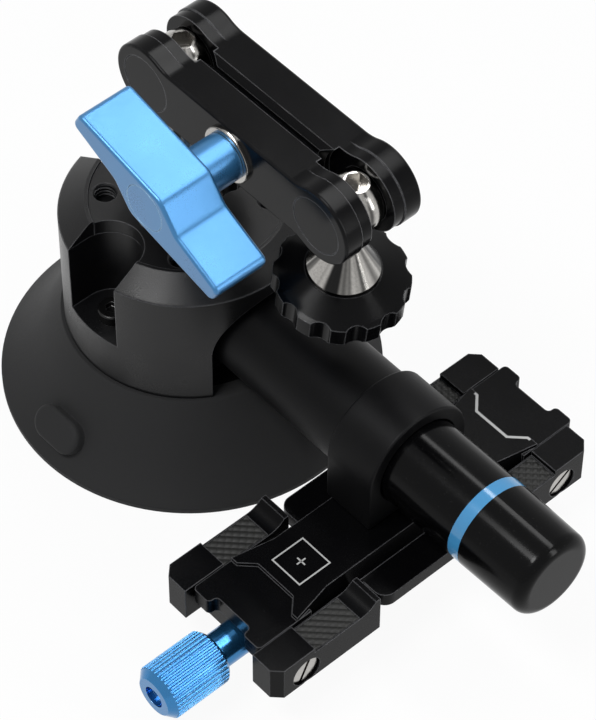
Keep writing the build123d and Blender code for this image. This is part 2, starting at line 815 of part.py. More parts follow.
foot_middle = collar_start + collar_length / 2
with BuildPart() as clamp_bar:
    with BuildSketch(Plane.XY.offset(slab_bottom)):
        with Locations((bar_x, bar_y)):
            Rectangle(2 * bar_half_width, 2 * bar_half_length)
    extrude(amount=slab_thickness)
    with BuildSketch(Plane.XY.offset(slab_top)):
        with Locations((bar_x, bar_y)):
            with GridLocations(0, 2 * bar_half_length - platform_reach, 1, 2):
                Rectangle(2 * bar_half_width, platform_reach)
    extrude(amount=platform_top - slab_top)
    with BuildSketch(Plane.XY.offset(slab_top)):
        draw_plateau(bar_half_width - platform_drop)
    with BuildSketch(Plane.XY.offset(bar_top)):
        draw_plateau(plateau_half_width)
    loft(ruled=True)
    with BuildSketch(Plane.XY.offset(slab_top - flange_thickness)):
        with Locations((bar_x, bar_y)):
            RectangleRounded(2 * flange_half_width, 2 * flange_half_length, 4)
    extrude(amount=flange_thickness)
    with BuildSketch(Plane.XY.offset(slab_bottom)):
        with Locations((bar_x, bar_y)):
            with GridLocations(0, 2 * bar_half_length, 1, 2):
                Rectangle(notch_width, 2 * notch_depth)
    extrude(amount=bar_top - slab_bottom, mode=Mode.SUBTRACT)
    notch_start = bar_half_length - notch_depth - 0.1
    horn_edges = edges().filter_by(Axis.Z).filter_by(lambda e: abs(e.center().Y - bar_y) > notch_start)
    fillet(horn_edges, horn_corner)
    with BuildSketch(Plane.XY.offset(screw_height - nut_block_half_width)):
        with Locations((bar_x, bar_y - nut_block_start - nut_block_length / 2)):
            Rectangle(2 * nut_block_half_width, nut_block_length)
    extrude(amount=slab_bottom + nut_block_half_width - screw_height)
    with BuildSketch(Plane.XZ.offset(-bar_y + nut_block_start)):
        with Locations((bar_x, screw_height)):
            Circle(lead_screw_radius + run_fit)
    extrude(amount=nut_block_length, mode=Mode.SUBTRACT)
    with BuildSketch(Plane.XY.offset(slab_top - flange_thickness)):
        with Locations((foot_middle, 0)):
            with GridLocations(0, foot_screw_spacing, 1, 2):
                Circle(foot_screw_radius + run_fit)
    extrude(amount=foot_bottom, mode=Mode.SUBTRACT)
    with BuildSketch(Plane.XY.offset(slab_top - flange_thickness)):
        with Locations((foot_middle, 0)):
            with GridLocations(0, foot_screw_spacing, 1, 2):
                Circle(foot_head_radius + run_fit)
    extrude(amount=foot_head_height + run_fit, mode=Mode.SUBTRACT)
    with BuildSketch(Plane.XY.offset(slab_bottom)):
        with Locations((bar_x, bar_y + far_cross_middle)):
            with GridLocations(fork_screw_spacing, 0, 2, 1):
                Circle(fork_screw_radius + run_fit)
    extrude(amount=fork_screw_bite + run_fit, mode=Mode.SUBTRACT)
save(clamp_bar, "clamp_bar")

foot_head_seat = slab_top - flange_thickness + run_fit
with BuildPart() as foot_screws:
    with BuildSketch(Plane.XY.offset(foot_head_seat)):
        with Locations((foot_middle, 0)):
            with GridLocations(0, foot_screw_spacing, 1, 2):
                Circle(foot_head_radius)
    extrude(amount=foot_head_height)
    with BuildSketch(Plane.XY.offset(foot_head_seat)):
        with Locations((foot_middle, 0)):
            with GridLocations(0, foot_screw_spacing, 1, 2):
                Circle(foot_screw_radius)
    extrude(amount=foot_bottom + foot_screw_bite - foot_head_seat)
    with BuildSketch(Plane.XY.offset(foot_head_seat)):
        with Locations((foot_middle, 0)):
            with GridLocations(0, foot_screw_spacing, 1, 2):
                RegularPolygon(foot_head_radius / 2, 6)
    extrude(amount=foot_head_height / 2, mode=Mode.SUBTRACT)
save(foot_screws, "foot_screws")


def across_bar(end, distance):
    """A plane facing along X at a distance from the bar's middle; its x runs outwards to one end."""
    origin = (bar_x + distance, bar_y, 0)
    return Plane(origin=origin, x_dir=(0, end, 0), z_dir=(end, 0, 0))


# Clamp forks: two jaws on a crosspiece at each end, each jaw with a grip pad and a raised lip
grip_width = jaw_width - 2 * grip_margin
jaw_middle = jaw_inner + jaw_width / 2
jaw_face = jaw_inner + jaw_width
jaw_fits = {
    "near": (near_jaw_overhang, near_jaw_length, near_slot_turn),
    "far": (far_jaw_overhang, far_jaw_length, far_slot_turn),
}

for end_name, end in (("near", -1), ("far", 1)):
    overhang, jaw_length, slot_turn = jaw_fits[end_name]
    jaw_outer_end = bar_half_length + overhang
    jaw_end = jaw_outer_end - jaw_length
    saddle_start = jaw_outer_end - block_length
    ramp_start = jaw_end + lip_reach
    screw_place = (jaw_outer_end - jaw_screw_inset, jaw_screw_height)
    grip_middle = (saddle_start + ramp_start) / 2
    grip_length = saddle_start - ramp_start - 2 * grip_margin
    cross_middle = jaw_outer_end - cross_inset - cross_length / 2
    for side_name, side in (("left", -1), ("right", 1)):
        outwards = side * end
        with BuildPart() as jaw:
            with BuildSketch(across_bar(end, side * jaw_inner)):
                with BuildLine():
                    Polyline(
                        (ramp_start, saddle_height),
                        (saddle_start, saddle_height),
                        (saddle_start, block_top),
                        (jaw_outer_end, block_top),
                        (jaw_outer_end, jaw_bottom),
                        (jaw_end, jaw_bottom),
                        (jaw_end, lip_top),
                        (jaw_end + lip_thickness, lip_top),
                    )
                    lip_edge = (jaw_end + lip_thickness, lip_top)
                    TangentArc((ramp_start, saddle_height), lip_edge, tangent=(-1, 0))
                make_face()
            extrude(amount=outwards * jaw_width)
            outer_edges = edges().filter_by(Axis.Z).sort_by(Axis.Y)
            outer_edge = outer_edges[:2] if end < 0 else outer_edges[-2:]
            chamfer(outer_edge.sort_by(Axis.X)[0 if side < 0 else -1], jaw_corner)
            chamfer(faces().sort_by(Axis.Z)[0].edges(), 0.8)
            with BuildSketch(across_bar(end, side * jaw_face)):
                with Locations(screw_place):
                    Circle(jaw_head_radius + free_gap)
            extrude(amount=-outwards * jaw_recess_depth, mode=Mode.SUBTRACT)
            with BuildSketch(across_bar(end, side * jaw_inner)):
                with Locations(screw_place):
                    Circle(jaw_screw_radius + run_fit)
            extrude(amount=outwards * jaw_width, mode=Mode.SUBTRACT)
            with BuildSketch(Plane.XY.offset(saddle_height)):
                with Locations((bar_x + side * jaw_middle, bar_y + end * grip_middle)):
                    Rectangle(grip_width, grip_length)
            extrude(amount=-grip_thickness, mode=Mode.SUBTRACT)
        save(jaw, f"{end_name}_{side_name}_jaw")

    with BuildPart() as grip_pads:
        with BuildSketch(Plane.XY.offset(saddle_height - grip_thickness)):
            with Locations((bar_x, bar_y + end * grip_middle)):
                with GridLocations(2 * jaw_middle, 0, 2, 1):
                    Rectangle(grip_width, grip_length)
        extrude(amount=grip_thickness + grip_proud)
    save(grip_pads, f"{end_name}_grip_pads")

    cross_top = slab_bottom - jaw_gap if end < 0 else slab_bottom
    with BuildPart() as crosspiece:
        with BuildSketch(Plane.XY.offset(cross_bottom)):
            with Locations((bar_x, bar_y + end * cross_middle)):
                Rectangle(2 * jaw_inner, cross_length)
        extrude(amount=cross_top - cross_bottom)
        for side in (-1, 1):
            with BuildSketch(across_bar(end, side * (jaw_inner - jaw_screw_grip))):
                with Locations(screw_place):
                    Circle(jaw_screw_radius + run_fit)
            extrude(amount=side * end * jaw_screw_grip, mode=Mode.SUBTRACT)
        if end < 0:
            with BuildSketch(Plane.XZ.offset(-bar_y + near_cross_end)):
                with Locations((bar_x, screw_height)):
                    Circle(lead_screw_radius + run_fit)
            extrude(amount=cross_length, mode=Mode.SUBTRACT)
        if end > 0:
            with BuildSketch(Plane.XY.offset(cross_bottom)):
                with Locations((bar_x, bar_y + cross_middle)):
                    with GridLocations(fork_screw_spacing, 0, 2, 1):
                        Circle(fork_screw_radius + run_fit)
            extrude(amount=cross_top - cross_bottom, mode=Mode.SUBTRACT)
    save(crosspiece, f"{end_name}_crosspiece")

    with BuildPart() as jaw_screws:
        for side in (-1, 1):
            head_start = jaw_face - jaw_recess_depth
            with BuildSketch(across_bar(end, side * (jaw_inner - jaw_screw_grip))):
                with Locations(screw_place):
                    Circle(jaw_screw_radius)
            extrude(amount=side * end * (head_start - jaw_inner + jaw_screw_grip))
            with BuildSketch(across_bar(end, side * head_start)):
                with Locations(screw_place):
                    Circle(jaw_head_radius)
            extrude(amount=side * end * jaw_head_height)
            with BuildSketch(across_bar(end, side * (head_start + jaw_head_height))):
                with Locations(screw_place):
                    Rectangle(2 * jaw_head_radius, slot_width, rotation=slot_turn)
            extrude(amount=-side * end * slot_depth, mode=Mode.SUBTRACT)
    save(jaw_screws, f"{end_name}_jaw_screws")

# Clamp screw: it turns in the near crosspiece and threads through the bar's nut block
with BuildPart() as clamp_knob:
    with BuildSketch(Plane.XZ.offset(-bar_y + neck_start)):
        with Locations((bar_x, screw_height)):
            Circle(neck_knob_radius)
    extrude(amount=neck_length)
    with BuildSketch(Plane.XZ.offset(-bar_y + knurl_start)):
        with Locations((bar_x, screw_height)):
            Circle(knurl_radius)
    extrude(amount=knurl_length)
    knob_rims = edges().filter_by(GeomType.CIRCLE).filter_by(lambda e: e.radius > knurl_radius - 0.1)
    chamfer(knob_rims.sort_by(Axis.Y)[0], knob_chamfer)
    chamfer(knob_rims.sort_by(Axis.Y)[-1], knob_chamfer / 2)
    with BuildSketch(Plane.XZ.offset(-bar_y + knurl_start)):
        with Locations((bar_x, screw_height)):
            with PolarLocations(knurl_radius, knurl_count):
                Circle(knurl_groove)
    extrude(amount=knurl_length, mode=Mode.SUBTRACT)
    with BuildSketch(Plane.XZ.offset(-bar_y + knurl_end)):
        with Locations((bar_x, screw_height)):
            Circle(knob_recess_radius)
    extrude(amount=-knob_recess_depth, mode=Mode.SUBTRACT)
    with BuildSketch(Plane.XZ.offset(-bar_y + neck_start)):
        with Locations((bar_x, screw_height)):
            Circle(lead_screw_radius + run_fit)
    extrude(amount=neck_length + knurl_length / 2, mode=Mode.SUBTRACT)
save(clamp_knob, "clamp_knob")

with BuildPart() as clamp_shaft:
    with BuildSketch(Plane.XZ.offset(-bar_y + shaft_end)):
        with Locations((bar_x, screw_height)):
            Circle(lead_screw_radius)
    extrude(amount=knurl_start + knurl_length / 2 - shaft_end)
save(clamp_shaft, "clamp_shaft")

with BuildPart() as shaft_clip:
    with BuildSketch(Plane.XZ.offset(-bar_y + near_cross_end - face_gap)):
        with Locations((bar_x, screw_height)):
            draw_ring(clip_radius, lead_screw_radius + run_fit / 2)
    extrude(amount=-clip_thickness)
save(shaft_clip, "shaft_clip")

# Two screws hold the far crosspiece up against the bar
with BuildPart() as fork_screws:
    with BuildSketch(Plane.XY.offset(cross_bottom)):
        with Locations((bar_x, bar_y + far_cross_middle)):
            with GridLocations(fork_screw_spacing, 0, 2, 1):
                Circle(fork_head_radius)
    extrude(amount=-fork_head_height)
    fillet(edges().group_by(Axis.Z)[0], 0.4)
    with BuildSketch(Plane.XY.offset(cross_bottom)):
        with Locations((bar_x, bar_y + far_cross_middle)):
            with GridLocations(fork_screw_spacing, 0, 2, 1):
                Circle(fork_screw_radius)
    extrude(amount=slab_bottom + fork_screw_bite - cross_bottom)
save(fork_screws, "fork_screws")
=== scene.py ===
import json
import math
import bpy
import bmesh
from mathutils import Matrix, Vector


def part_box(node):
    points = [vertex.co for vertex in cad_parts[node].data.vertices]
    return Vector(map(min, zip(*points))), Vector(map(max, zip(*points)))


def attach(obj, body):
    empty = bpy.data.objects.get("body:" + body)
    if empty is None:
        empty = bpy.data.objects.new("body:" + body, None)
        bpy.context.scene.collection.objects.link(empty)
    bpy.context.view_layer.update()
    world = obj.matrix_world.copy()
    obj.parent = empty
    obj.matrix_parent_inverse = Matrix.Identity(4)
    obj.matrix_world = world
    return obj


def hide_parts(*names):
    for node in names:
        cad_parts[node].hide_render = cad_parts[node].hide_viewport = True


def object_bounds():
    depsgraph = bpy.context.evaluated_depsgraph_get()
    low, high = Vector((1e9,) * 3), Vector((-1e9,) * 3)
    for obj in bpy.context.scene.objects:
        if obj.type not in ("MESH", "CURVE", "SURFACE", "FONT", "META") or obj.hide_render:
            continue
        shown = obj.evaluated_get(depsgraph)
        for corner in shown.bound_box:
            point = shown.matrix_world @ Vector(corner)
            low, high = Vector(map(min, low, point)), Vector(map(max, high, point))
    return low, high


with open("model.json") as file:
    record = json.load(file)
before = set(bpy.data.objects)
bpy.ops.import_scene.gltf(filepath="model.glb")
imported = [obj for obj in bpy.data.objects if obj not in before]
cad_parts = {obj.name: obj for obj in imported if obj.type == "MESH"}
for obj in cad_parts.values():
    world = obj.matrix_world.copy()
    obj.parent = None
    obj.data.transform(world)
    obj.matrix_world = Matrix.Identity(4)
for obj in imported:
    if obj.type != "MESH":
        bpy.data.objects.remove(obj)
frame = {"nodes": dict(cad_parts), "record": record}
cadLow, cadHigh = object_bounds()
nodes = frame["nodes"]
mm = 0.001
print("frame loaded, nodes:", len(nodes))


nodeSpacing = (200, 160)  # in the node editor


def addNode(tree, kind, where, **settings):
    node = tree.nodes.new(kind)
    node.location = (where[0] * nodeSpacing[0], where[1] * nodeSpacing[1])
    for name, value in settings.items():
        if hasattr(node, name):
            setattr(node, name, value)
        else:
            node.inputs[name.replace("_", " ")].default_value = value
    return node


def startGroup(name, inputs, outputs):
    tree = bpy.data.node_groups.new(name, "ShaderNodeTree")
    for label, value in inputs.items():
        socket = tree.interface.new_socket(name=label, in_out="INPUT", socket_type="NodeSocketFloat")
        socket.default_value = value
    for label in outputs:
        tree.interface.new_socket(name=label, in_out="OUTPUT", socket_type="NodeSocketFloat")
    enter = addNode(tree, "NodeGroupInput", (-5, 0))
    leave = addNode(tree, "NodeGroupOutput", (5, 0))
    return tree, enter, leave


def mathNode(tree, where, operation, first, second=None, clamp=False):
    node = addNode(tree, "ShaderNodeMath", where, operation=operation, use_clamp=clamp)
    for index, value in enumerate((first, second)):
        if isinstance(value, (int, float)):
            node.inputs[index].default_value = value
        elif value is not None:
            tree.links.new(value, node.inputs[index])
    return node.outputs[0]


def objectNoise(tree, where, scale, detail=2.0, roughness=0.5):
    coords = addNode(tree, "ShaderNodeTexCoord", (where[0] - 1, where[1]))
    noise = addNode(tree, "ShaderNodeTexNoise", where)
    noise.inputs["Detail"].default_value = detail
    noise.inputs["Roughness"].default_value = roughness
    tree.links.new(coords.outputs["Object"], noise.inputs["Vector"])
    if isinstance(scale, (int, float)):
        noise.inputs["Scale"].default_value = scale
    else:
        tree.links.new(scale, noise.inputs["Scale"])
    return noise.outputs[0]


wearAndHighlightPatches = {"scale": 260.0, "detail": 4.0, "roughness": 0.6, "gain": 1.6, "lift": -0.25, "samples": 4}


def makeEdgeWearAndHighlight():
    # paler colour on edges, partly metal where an edge has been rubbed and partly a painted edge
    # highlight, broken up so it isn't a drawn line
    tree, enter, leave = startGroup("edgeWearAndHighlight", {"Width": 0.0004, "Gain": 6.0}, ["Mask"])
    bevel = addNode(tree, "ShaderNodeBevel", (-3, 1), samples=wearAndHighlightPatches["samples"])
    tree.links.new(enter.outputs["Width"], bevel.inputs["Radius"])
    plain = addNode(tree, "ShaderNodeNewGeometry", (-3, -1))
    dot = addNode(tree, "ShaderNodeVectorMath", (-2, 0), operation="DOT_PRODUCT")
    tree.links.new(bevel.outputs["Normal"], dot.inputs[0])
    tree.links.new(plain.outputs["Normal"], dot.inputs[1])
    away = mathNode(tree, (-1, 0), "SUBTRACT", 1.0, dot.outputs["Value"])
    gained = mathNode(tree, (0, 0), "MULTIPLY", away, enter.outputs["Gain"])
    patches = objectNoise(
        tree, (0, -2), wearAndHighlightPatches["scale"], wearAndHighlightPatches["detail"], wearAndHighlightPatches["roughness"])
    broken = mathNode(tree, (1, -1), "MULTIPLY_ADD", patches, wearAndHighlightPatches["gain"])
    broken.node.inputs[2].default_value = wearAndHighlightPatches["lift"]
    mask = mathNode(tree, (2, 0), "MULTIPLY", gained, broken, clamp=True)
    tree.links.new(mask, leave.inputs["Mask"])
    return tree


grainMix = {"slowness": 0.02, "fineShare": 0.45, "wideShare": 0.55}


def makeGrain():
    # the fine tooth of a blasted or moulded surface, and its slow change in sheen
    tree, enter, leave = startGroup("surfaceGrain", {"Scale": 3000.0, "Depth": 1.0}, ["Height", "Sheen"])
    fine = objectNoise(tree, (-2, 1), enter.outputs["Scale"], 3.0, 0.65)
    height = mathNode(tree, (0, 1), "MULTIPLY", fine, enter.outputs["Depth"])
    slow = mathNode(tree, (-3, -2), "MULTIPLY", enter.outputs["Scale"], grainMix["slowness"])
    wide = objectNoise(tree, (-1, -2), slow, 3.0, 0.55)
    mixed = mathNode(tree, (1, -1), "MULTIPLY_ADD", fine, grainMix["fineShare"])
    wideShare = mathNode(tree, (0, -2), "MULTIPLY", wide, grainMix["wideShare"])
    tree.links.new(wideShare, mixed.node.inputs[2])
    tree.links.new(height, leave.inputs["Height"])
    tree.links.new(mixed, leave.inputs["Sheen"])
    return tree


dustFall = {"threshold": 0.62, "sharpness": 9.0, "onTop": 0.6, "onSides": 0.25}


def makeDust():
    # pale specks and a thin film on what faces up
    tree, enter, leave = startGroup("dust", {"Amount": 0.2, "Scale": 900.0}, ["Mask"])
    specks = objectNoise(tree, (-2, 1), enter.outputs["Scale"], 5.0, 0.7)
    cut = mathNode(tree, (-1, 1), "SUBTRACT", specks, dustFall["threshold"])
    sharp = mathNode(tree, (0, 1), "MULTIPLY", cut, dustFall["sharpness"], clamp=True)
    facing = addNode(tree, "ShaderNodeNewGeometry", (-2, -1))
    split = addNode(tree, "ShaderNodeSeparateXYZ", (-1, -1))
    tree.links.new(facing.outputs["Normal"], split.inputs[0])
    upward = mathNode(tree, (0, -1), "MULTIPLY_ADD", split.outputs["Z"], dustFall["onTop"], clamp=True)
    upward.node.inputs[2].default_value = dustFall["onSides"]
    film = mathNode(tree, (1, 0), "MULTIPLY", sharp, upward)
    mask = mathNode(tree, (2, 0), "MULTIPLY", film, enter.outputs["Amount"])
    tree.links.new(mask, leave.inputs["Mask"])
    return tree


def makeTurning():
    # the fine rings that a lathe leaves round a stud's axis
    tree, enter, leave = startGroup("latheRings", {"Rings": 4000.0}, ["Height", "Sheen"])
    coords = addNode(tree, "ShaderNodeTexCoord", (-3, 0))
    split = addNode(tree, "ShaderNodeSeparateXYZ", (-2, 0))
    tree.links.new(coords.outputs["Object"], split.inputs[0])
    turns = mathNode(tree, (-1, 0), "MULTIPLY", split.outputs["Z"], enter.outputs["Rings"])
    streak = addNode(tree, "ShaderNodeTexNoise", (0, 0), noise_dimensions="1D")
    streak.inputs["Scale"].default_value = 1.0
    streak.inputs["Detail"].default_value = 2.0
    tree.links.new(turns, streak.inputs["W"])
    tree.links.new(streak.outputs[0], leave.inputs["Height"])
    slow = objectNoise(tree, (0, -2), 150.0, 3.0)
    tree.links.new(mathNode(tree, (1, -1), "MULTIPLY", streak.outputs[0], slow), leave.inputs["Sheen"])
    return tree


# where the painted reflection bands change from dark to bright
paintedReflectionSpread = {"from": 0.36, "to": 0.56}


def makePaintedReflectionFan():
    # painted reflection: turned metal is brighter and darker by turns round its axis, a mask that paints
    # its reflections into the colour
    tree, enter, leave = startGroup("paintedReflectionFan", {"Bands": 1.6}, ["Mask"])
    facing = addNode(tree, "ShaderNodeNewGeometry", (-4, 0))
    split = addNode(tree, "ShaderNodeSeparateXYZ", (-3, 0))
    flat = addNode(tree, "ShaderNodeCombineXYZ", (-2, 0))
    unit = addNode(tree, "ShaderNodeVectorMath", (-1, 0), operation="NORMALIZE")
    noise = addNode(tree, "ShaderNodeTexNoise", (0, 0), noise_dimensions="2D")
    noise.inputs["Detail"].default_value = 2.0
    tree.links.new(facing.outputs["Normal"], split.inputs[0])
    tree.links.new(split.outputs["X"], flat.inputs["X"])
    tree.links.new(split.outputs["Y"], flat.inputs["Y"])
    tree.links.new(flat.outputs[0], unit.inputs[0])
    tree.links.new(unit.outputs[0], noise.inputs["Vector"])
    tree.links.new(enter.outputs["Bands"], noise.inputs["Scale"])
    spread = addNode(tree, "ShaderNodeMapRange", (2, 0), interpolation_type="SMOOTHSTEP")
    spread.inputs["From Min"].default_value = paintedReflectionSpread["from"]
    spread.inputs["From Max"].default_value = paintedReflectionSpread["to"]
    tree.links.new(noise.outputs[0], spread.inputs["Value"])
    tree.links.new(spread.outputs[0], leave.inputs["Mask"])
    return tree


edgeWearAndHighlight = makeEdgeWearAndHighlight()
paintedReflectionFan = makePaintedReflectionFan()
surfaceGrain = makeGrain()
dustGroup = makeDust()
latheRings = makeTurning()
print("shared effects built")


def placeGroup(tree, group, where, **values):
    node = addNode(tree, "ShaderNodeGroup", where)
    node.node_tree = group
    for name, value in values.items():
        node.inputs[name].default_value = value
    return node


def toLinear(shade):
    return tuple(c / 12.92 if c <= 0.04045 else ((c + 0.055) / 1.055) ** 2.4 for c in shade) + (1.0,)


def mixColors(tree, where, amount, low, high):
    mix = addNode(tree, "ShaderNodeMix", where, data_type="RGBA")
    tree.links.new(amount, mix.inputs["Factor"])
    for socket, value in ((mix.inputs[6], low), (mix.inputs[7], high)):
        if isinstance(value, tuple):
            socket.default_value = value
        else:
            tree.links.new(value, socket)
    return mix.outputs[2]


sheenSpan = {"low": 0.3, "high": 0.7}  # the part of the grain's sheen that sets the roughness


def makeFinish(name, look):
    # one material: grain, edge wear with a painted edge highlight, painted reflection bands, dust and
    # rings as its look asks for them
    material = bpy.data.materials.new(name)
    material.use_nodes = True
    tree = material.node_tree
    tree.nodes.clear()
    output = addNode(tree, "ShaderNodeOutputMaterial", (8, 0))
    shader = addNode(tree, "ShaderNodeBsdfPrincipled", (6, 0))
    tree.links.new(shader.outputs[0], output.inputs["Surface"])
    shader.inputs["Metallic"].default_value = look["metallic"]
    shader.inputs["IOR"].default_value = look.get("ior", 1.5)
    shader.inputs["Specular IOR Level"].default_value = look.get("specular", 0.5)
    shader.inputs["Coat Weight"].default_value = look.get("coat", 0.0)
    shader.inputs["Coat Roughness"].default_value = look.get("coatRoughness", 0.05)
    shader.inputs["Sheen Weight"].default_value = look.get("sheen", 0.0)
    shader.inputs["Anisotropic"].default_value = look.get("anisotropic", 0.0)

    grain = placeGroup(tree, surfaceGrain, (-2, 1), Scale=look["grainScale"], Depth=1.0)
    dark, pale = toLinear(look["dark"]), toLinear(look["pale"])
    color = mixColors(tree, (0, 2), grain.outputs["Sheen"], dark, pale)
    height = grain.outputs["Height"]
    if look.get("rings"):
        rings = placeGroup(tree, latheRings, (-2, -3), Rings=look["rings"])
        height = mathNode(tree, (-1, -2), "MULTIPLY_ADD", rings.outputs["Height"], look["ringDepth"])
        tree.links.new(grain.outputs["Height"], height.node.inputs[2])
    # painted reflection: the dark shade colour is mixed in by bands round the axis
    if look.get("paintedFan"):
        paintedFan = placeGroup(tree, paintedReflectionFan, (-2, -5), Bands=look["paintedFan"])
        color = mixColors(tree, (1, 3), paintedFan.outputs["Mask"], toLinear(look["shade"]), color)
    # painted edge highlight and wear: a paler colour mixed in along the edges
    if look.get("wearAndHighlight"):
        wearAndHighlight = placeGroup(tree, edgeWearAndHighlight, (-2, 4), Width=look["wearHighlightWidth"], Gain=look["wearAndHighlight"])
        color = mixColors(tree, (2, 3), wearAndHighlight.outputs["Mask"], color, toLinear(look["edgeWearHighlightColor"]))
    if look.get("dust"):
        dusting = placeGroup(tree, dustGroup, (-2, 6), Amount=look["dust"], Scale=look["dustScale"])
        dustColor = toLinear(look.get("dustColor", (0.5, 0.5, 0.5)))
        color = mixColors(tree, (3, 4), dusting.outputs["Mask"], color, dustColor)
    tree.links.new(color, shader.inputs["Base Color"])

    spread = addNode(tree, "ShaderNodeMapRange", (2, 0))
    spread.inputs["From Min"].default_value = sheenSpan["low"]
    spread.inputs["From Max"].default_value = sheenSpan["high"]
    spread.inputs["To Min"].default_value = look["smooth"]
    spread.inputs["To Max"].default_value = look["rough"]
    tree.links.new(grain.outputs["Sheen"], spread.inputs["Value"])
    tree.links.new(spread.outputs[0], shader.inputs["Roughness"])

    rounded = addNode(tree, "ShaderNodeBevel", (2, -3), samples=4)
    rounded.inputs["Radius"].default_value = look.get("round", 0.3) * mm
    bump = addNode(tree, "ShaderNodeBump", (4, -2))
    bump.inputs["Distance"].default_value = look["bumpDepth"] * mm
    bump.inputs["Strength"].default_value = look.get("bumpStrength", 0.6)
    tree.links.new(height, bump.inputs["Height"])
    tree.links.new(rounded.outputs["Normal"], bump.inputs["Normal"])
    tree.links.new(bump.outputs["Normal"], shader.inputs["Normal"])
    return material


# in these looks the paler edge colour and its width stand for rubbed wear and for a painted edge
# highlight
cupRubberLook = {
    "metallic": 0.0, "specular": 0.16, "dark": (0.13, 0.13, 0.132), "pale": (0.19, 0.19, 0.192),
    "grainScale": 1400.0, "smooth": 0.55, "rough": 0.75, "bumpDepth": 0.05, "sheen": 0.03,
    "dust": 0.10, "dustScale": 1500.0, "dustColor": (0.36, 0.36, 0.36), "round": 0.8,
}
gripRubberLook = {
    "metallic": 0.0, "specular": 0.25, "dark": (0.10, 0.10, 0.10), "pale": (0.20, 0.20, 0.195),
    "grainScale": 2200.0, "smooth": 0.42, "rough": 0.6, "bumpDepth": 0.04, "round": 0.1,
}
housingLook = {
    "metallic": 0.0, "specular": 0.28, "dark": (0.03, 0.03, 0.034), "pale": (0.08, 0.08, 0.085),
    "grainScale": 2600.0, "smooth": 0.24, "rough": 0.4, "bumpDepth": 0.07, "wearAndHighlight": 5.0,
    "wearHighlightWidth": 0.0005, "edgeWearHighlightColor": (0.42, 0.42, 0.43), "round": 0.5, "dust": 0.08,
    "dustScale": 2200.0,
}
tubeLook = {
    "metallic": 0.0, "specular": 0.1, "dark": (0.025, 0.025, 0.028), "pale": (0.065, 0.065, 0.07),
    "grainScale": 2400.0, "smooth": 0.34, "rough": 0.48, "bumpDepth": 0.07, "round": 0.4,
    "wearAndHighlight": 2.0, "wearHighlightWidth": 0.0004, "edgeWearHighlightColor": (0.24, 0.24, 0.25), "dust": 0.06, "dustScale": 2400.0,
}
plungerLook = {
    "metallic": 0.0, "specular": 0.09, "dark": (0.012, 0.012, 0.014), "pale": (0.02, 0.02, 0.024),
    "grainScale": 500.0, "smooth": 0.13, "rough": 0.2, "bumpDepth": 0.004, "round": 0.4,
    "coat": 0.04, "coatRoughness": 0.12, "dust": 0.10, "dustScale": 1100.0,
}
ringLook = {
    "metallic": 0.0, "specular": 0.4, "dark": (0.24, 0.54, 0.74), "pale": (0.28, 0.59, 0.80),
    "grainScale": 700.0, "smooth": 0.10, "rough": 0.18, "bumpDepth": 0.004, "round": 0.2,
    "coat": 0.3, "coatRoughness": 0.04,
}
armLook = {
    "metallic": 0.0, "specular": 0.09, "dark": (0.02, 0.02, 0.024), "pale": (0.035, 0.035, 0.04),
    "grainScale": 3600.0, "smooth": 0.13, "rough": 0.22, "bumpDepth": 0.010, "round": 0.35,
    "wearAndHighlight": 6.0, "wearHighlightWidth": 0.0005, "edgeWearHighlightColor": (0.50, 0.50, 0.51), "dust": 0.05, "dustScale": 2500.0,
}
clampLook = {
    "metallic": 0.0, "specular": 0.07, "dark": (0.02, 0.02, 0.024), "pale": (0.035, 0.035, 0.04),
    "grainScale": 3600.0, "smooth": 0.2, "rough": 0.32, "bumpDepth": 0.014, "round": 0.35,
    "wearAndHighlight": 7.0, "wearHighlightWidth": 0.0005, "edgeWearHighlightColor": (0.46, 0.46, 0.47), "dust": 0.05, "dustScale": 2500.0,
}
blueLook = {
    "coat": 0.4, "coatRoughness": 0.32, "metallic": 0.6, "dark": (0.17, 0.41, 0.62),
    "pale": (0.26, 0.53, 0.73), "grainScale": 3400.0, "smooth": 0.24, "rough": 0.38,
    "bumpDepth": 0.020, "round": 0.4, "wearAndHighlight": 5.0, "wearHighlightWidth": 0.0005, "edgeWearHighlightColor": (0.66, 0.84, 0.95),
}
knurlLook = {
    "metallic": 0.85, "dark": (0.17, 0.44, 0.66), "pale": (0.26, 0.54, 0.76), "coat": 0.2,
    "coatRoughness": 0.1, "grainScale": 3400.0, "smooth": 0.16, "rough": 0.28, "bumpDepth": 0.008,
    "round": 0.15, "wearAndHighlight": 1.6, "wearHighlightWidth": 0.0003, "edgeWearHighlightColor": (0.70, 0.88, 0.98),
}
# the fan and shade entries paint dark reflection bands round the stud's axis into the steel's colour
steelLook = {
    "metallic": 1.0, "dark": (0.45, 0.44, 0.43), "pale": (0.88, 0.87, 0.85), "grainScale": 1500.0,
    "smooth": 0.1, "rough": 0.2, "bumpDepth": 0.004, "round": 0.2, "rings": 9000.0,
    "ringDepth": 2.5, "anisotropic": 0.4, "paintedFan": 1.6, "shade": (0.15, 0.15, 0.15),
}
screwLook = {
    "metallic": 0.9, "dark": (0.10, 0.10, 0.10), "pale": (0.20, 0.20, 0.20), "grainScale": 2500.0,
    "smooth": 0.22, "rough": 0.36, "bumpDepth": 0.01, "round": 0.2, "wearAndHighlight": 5.0,
    "wearHighlightWidth": 0.0003, "edgeWearHighlightColor": (0.6, 0.6, 0.6),
}
paintLook = {
    "metallic": 0.0, "dark": (0.66, 0.66, 0.66), "pale": (0.80, 0.80, 0.79), "grainScale": 3000.0,
    "smooth": 0.35, "rough": 0.5, "bumpDepth": 0.006, "round": 0.05,
}

